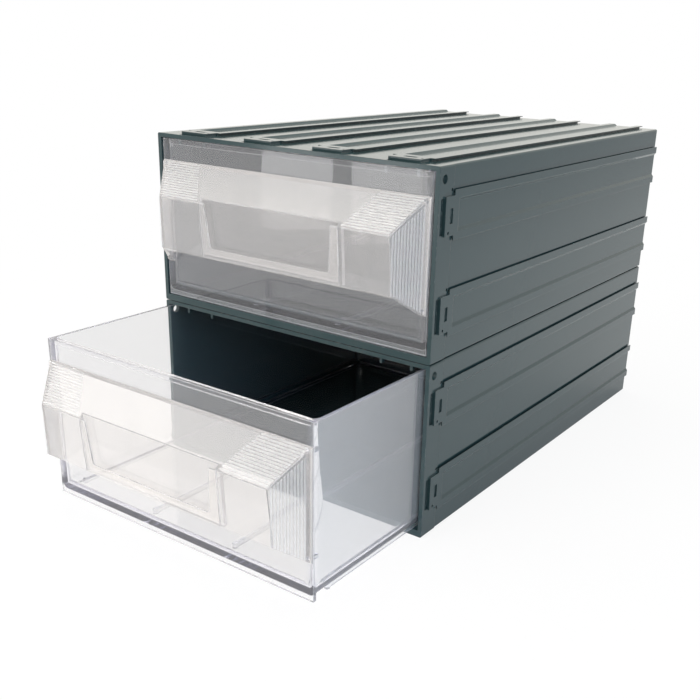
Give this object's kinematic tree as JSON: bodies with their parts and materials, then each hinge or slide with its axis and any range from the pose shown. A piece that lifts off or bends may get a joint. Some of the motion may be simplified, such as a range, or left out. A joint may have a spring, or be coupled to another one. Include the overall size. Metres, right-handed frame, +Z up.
{
  "type": "stackable drawer box",
  "caption": "Stackable craft and parts drawer box: grey-green housings joined by sliding T-rails, clear pull-out drawers, clip-on pulls with a label recess and ribbed ends.",
  "frame": {"origin": "centre of the lower housing's base", "axes": "+Z up, -Y towards the front where the drawers open, +X to the right seen from the front"},
  "size_m": [0.186, 0.3866, 0.193],
  "materials": {
    "housing_plastic": "satin moulded plastic, grey-green",
    "drawer_plastic": "clear, polished, faint violet cast at the edges",
    "pull_plastic": "clear, satin on the ribs"
  },
  "bodies": {
    "lower_box": {"lower_housing": "housing_plastic"},
    "upper_box": {"upper_housing": "housing_plastic"},
    "lower_tray": {"lower_drawer": "drawer_plastic", "lower_pull": "pull_plastic"},
    "upper_tray": {"upper_drawer": "drawer_plastic", "upper_pull": "pull_plastic"}
  },
  "joints": [
    {"name": "lower_drawer_slide", "type": "slide", "parent": "lower_box", "child": "lower_tray", "axis": [0, -1, 0], "range_m": [-0.086, 0.18]},
    {"name": "stack_slide", "type": "slide", "parent": "lower_box", "child": "upper_box", "axis": [0, -1, 0], "range_m": [0, 0.269]},
    {"name": "upper_drawer_slide", "type": "slide", "parent": "upper_box", "child": "upper_tray", "axis": [0, -1, 0], "range_m": [0, 0.266]}
  ]
}
